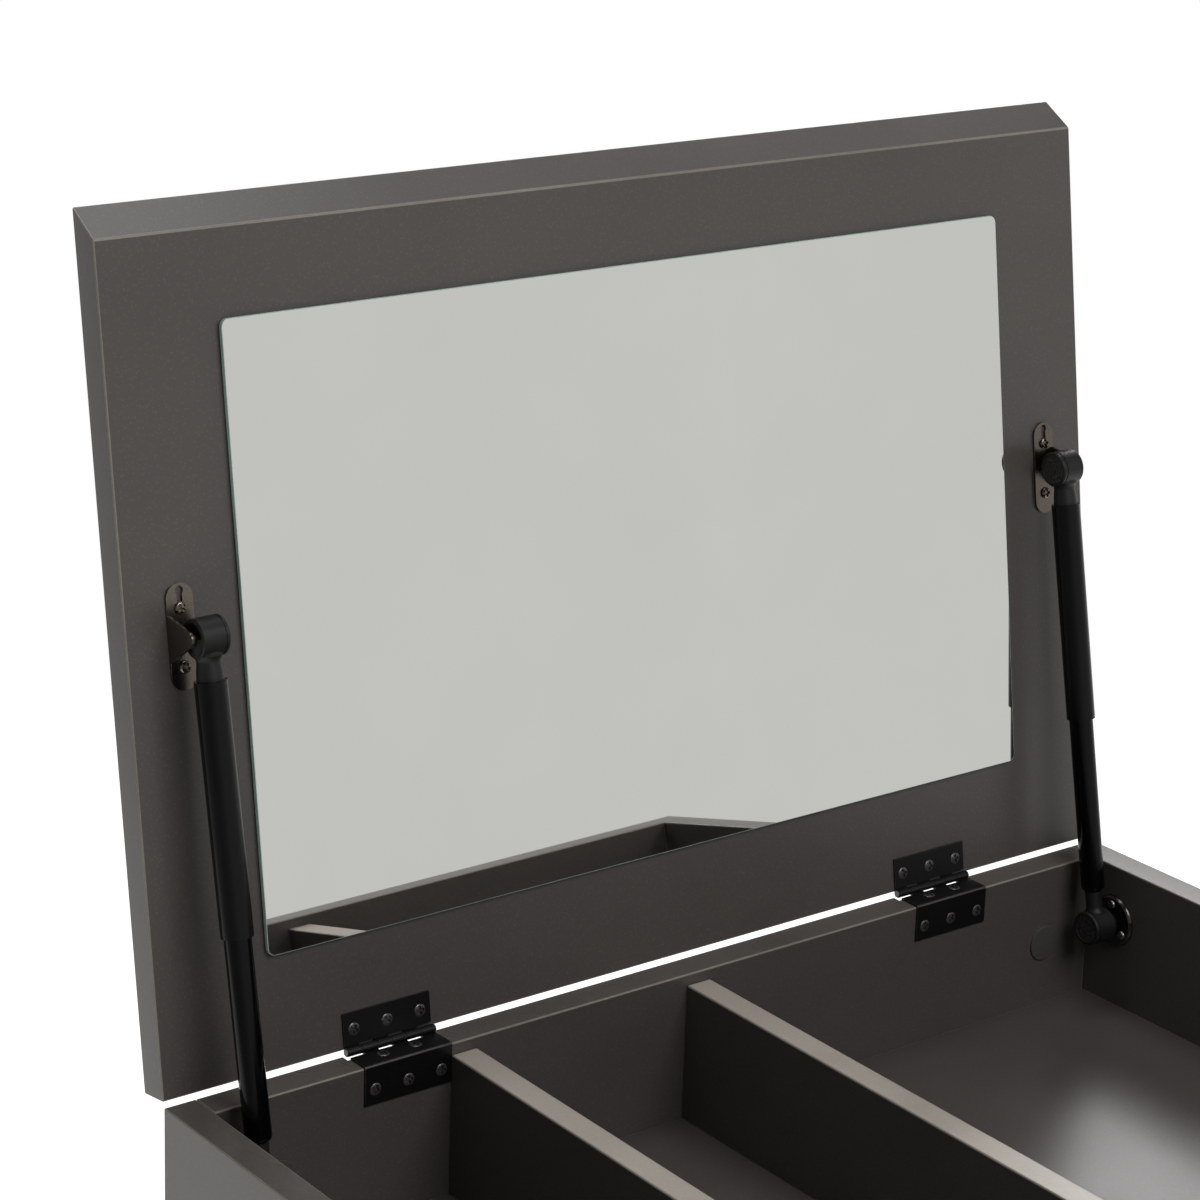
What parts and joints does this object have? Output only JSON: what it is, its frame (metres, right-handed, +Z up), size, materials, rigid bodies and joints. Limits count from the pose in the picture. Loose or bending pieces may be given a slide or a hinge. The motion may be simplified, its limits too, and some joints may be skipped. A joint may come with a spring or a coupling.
{
  "type": "vanity table with mirror",
  "caption": "Flip-top vanity table on four legs: a shallow divided case under a hinged lid that carries a mirror and is held open by gas struts.",
  "frame": {"origin": "on the floor, below the middle of the open object's bounding box", "axes": "+X to the user's right, -Y towards the user at the front, +Z up"},
  "size_m": [0.6, 0.4772, 1.1424],
  "materials": {
    "melamine_board": "satin dark grey melamine with a fine speckle",
    "dowel_beech": "plain beech",
    "leg_stain": "black stained wood, satin",
    "black_steel": "satin black powder coat",
    "zinc_steel": "nickel plated steel",
    "strut_paint": "gloss black paint",
    "rod_chrome": "hard chromed and polished",
    "socket_plastic": "moulded grey plastic",
    "sleeve_plastic": "gloss black plastic",
    "glide_plastic": "moulded black plastic",
    "mirror_glass": "silvered float glass",
    "foam_tape": "white foam tape"
  },
  "bodies": {
    "case": {"side_panel_left": "melamine_board", "side_panel_right": "melamine_board", "rear_panel": "melamine_board", "front_panel": "melamine_board", "floor_panel": "melamine_board", "divider_left": "melamine_board", "divider_right": "melamine_board", "dowels": "dowel_beech", "cam_bolts": "zinc_steel", "cam_locks": "zinc_steel", "cam_caps": "melamine_board", "leg_plate_front_left": "black_steel", "leg_plate_front_right": "black_steel", "leg_plate_rear_left": "black_steel", "leg_plate_rear_right": "black_steel", "leg_plate_screws": "zinc_steel", "hanger_bolts": "zinc_steel", "leg_front_left": "leg_stain", "leg_front_right": "leg_stain", "leg_rear_left": "leg_stain", "leg_rear_right": "leg_stain", "glide_front_left": "glide_plastic", "glide_front_right": "glide_plastic", "glide_rear_left": "glide_plastic", "glide_rear_right": "glide_plastic", "hinge_left_case_leaf": "black_steel", "hinge_right_case_leaf": "black_steel", "hinge_left_pin": "black_steel", "hinge_right_pin": "black_steel", "hinge_case_screws": "black_steel", "strut_base_left": "strut_paint", "strut_base_right": "strut_paint", "strut_base_screws": "zinc_steel"},
    "lid": {"lid_board": "melamine_board", "mirror_glass": "mirror_glass", "mirror_tape": "foam_tape", "hinge_left_lid_leaf": "black_steel", "hinge_right_lid_leaf": "black_steel", "hinge_lid_screws": "black_steel", "strut_bracket_left": "zinc_steel", "strut_bracket_right": "zinc_steel", "bracket_screws": "zinc_steel"},
    "strut_left_tube": {"strut_left_cylinder": "strut_paint", "strut_left_lower_socket": "socket_plastic"},
    "strut_left_rod_end": {"strut_left_rod": "rod_chrome", "strut_left_sleeve": "sleeve_plastic", "strut_left_upper_socket": "socket_plastic", "strut_left_stud": "zinc_steel"},
    "strut_right_tube": {"strut_right_cylinder": "strut_paint", "strut_right_lower_socket": "socket_plastic"},
    "strut_right_rod_end": {"strut_right_rod": "rod_chrome", "strut_right_sleeve": "sleeve_plastic", "strut_right_upper_socket": "socket_plastic", "strut_right_stud": "zinc_steel"}
  },
  "joints": [
    {"name": "lid_hinge", "type": "hinge", "parent": "case", "child": "lid", "pos_m": [0, 0.15976, 0.7372], "axis": [1, 0, 0], "range_deg": [0, 98.3]},
    {"name": "strut_left_swing", "type": "hinge", "parent": "case", "child": "strut_left_tube", "pos_m": [-0.269, 0.12471, 0.7034], "axis": [1, 0, 0], "range_deg": [0, 95.84]},
    {"name": "strut_left_slide", "type": "slide", "parent": "strut_left_tube", "child": "strut_left_rod_end", "axis": [0, -0.1979, -0.9802], "range_m": [0, 0.07311]},
    {"name": "strut_right_swing", "type": "hinge", "parent": "case", "child": "strut_right_tube", "pos_m": [0.269, 0.12471, 0.7034], "axis": [1, 0, 0], "range_deg": [0, 95.84]},
    {"name": "strut_right_slide", "type": "slide", "parent": "strut_right_tube", "child": "strut_right_rod_end", "axis": [0, -0.1979, -0.9802], "range_m": [0, 0.07311]}
  ],
  "couplings": [
    {"joint": "strut_left_swing", "follows": "lid_hinge", "ratio": 0.97451},
    {"joint": "strut_left_slide", "follows": "lid_hinge", "m_per_rad": 0.042581},
    {"joint": "strut_right_swing", "follows": "lid_hinge", "ratio": 0.97451},
    {"joint": "strut_right_slide", "follows": "lid_hinge", "m_per_rad": 0.042581}
  ]
}
